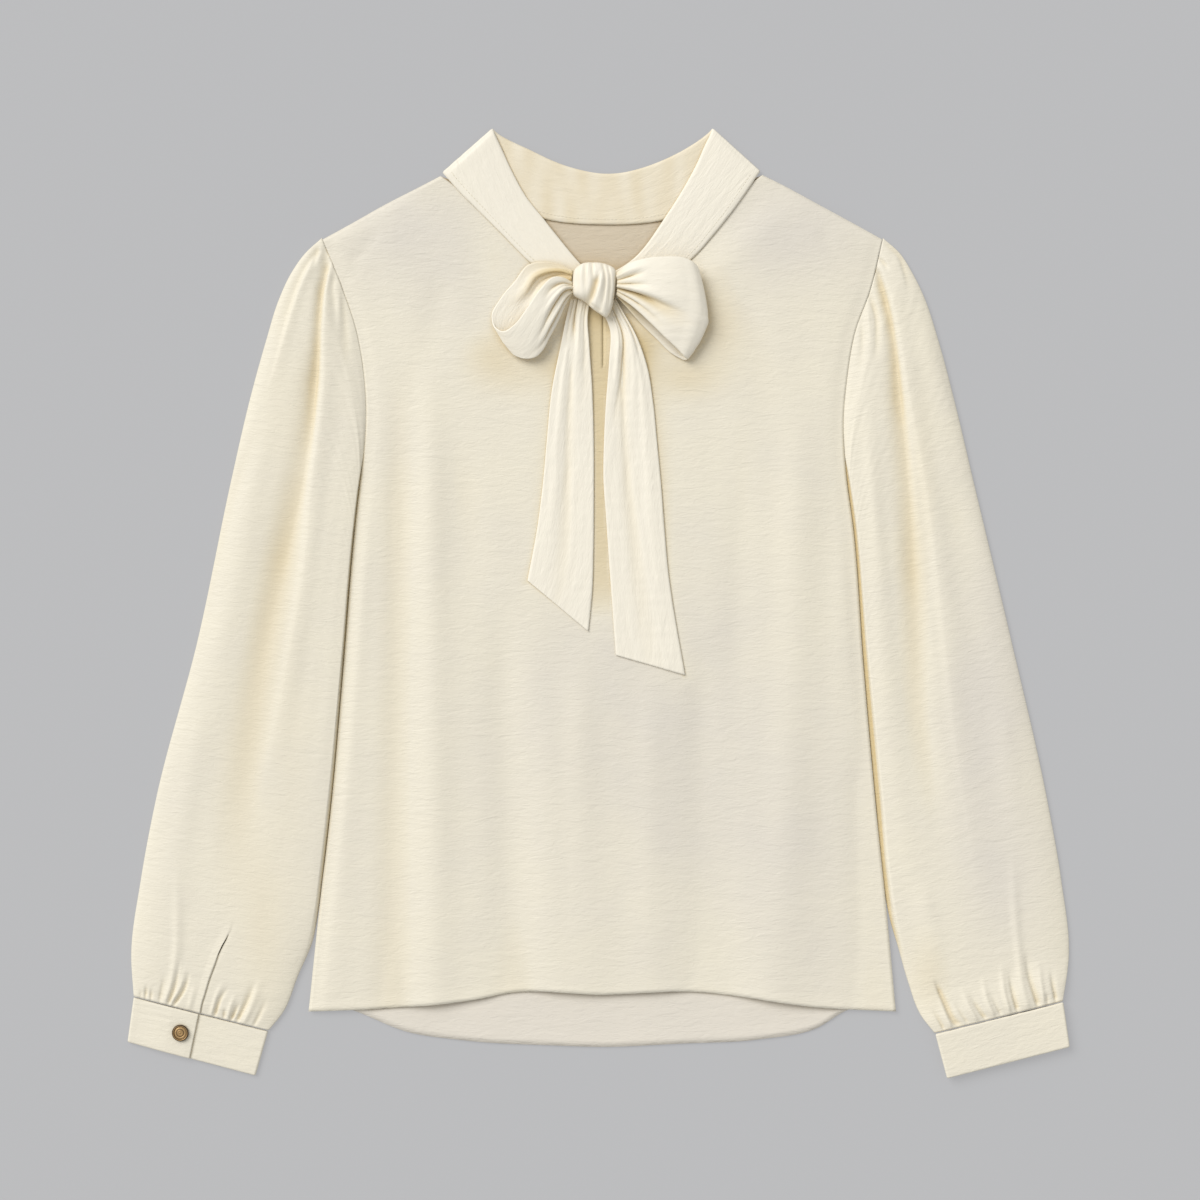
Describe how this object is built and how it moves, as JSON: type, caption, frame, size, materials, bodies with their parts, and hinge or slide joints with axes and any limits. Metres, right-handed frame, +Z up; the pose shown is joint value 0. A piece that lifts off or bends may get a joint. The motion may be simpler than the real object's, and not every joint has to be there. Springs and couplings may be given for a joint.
{
  "type": "tie neck blouse laid flat",
  "caption": "Long-sleeved cream crepe blouse laid flat, with a stand neck band tied in a soft bow, gathered sleeves, buttoned cuffs and a longer rounded back hem.",
  "frame": {"origin": "middle of the laid garment, on the surface it lies on", "axes": "+Z up from the surface, out of the front; +Y towards the neck; +X to the right as seen from above"},
  "size_m": [0.7337, 0.7396, 0.0242],
  "materials": {
    "cloth": "crinkled satin-backed crepe, cream",
    "button": "antique brass, darker in its recess"
  },
  "bodies": {
    "root": {"back": "cloth", "front": "cloth", "sleeve_left": "cloth", "sleeve_right": "cloth", "cuff_left": "cloth", "cuff_right": "cloth", "neck_band": "cloth", "bow_loop_left": "cloth", "bow_loop_right": "cloth", "bow_knot": "cloth", "tail_left": "cloth", "tail_right": "cloth", "button_left": "button", "button_right": "button"}
  },
  "joints": []
}
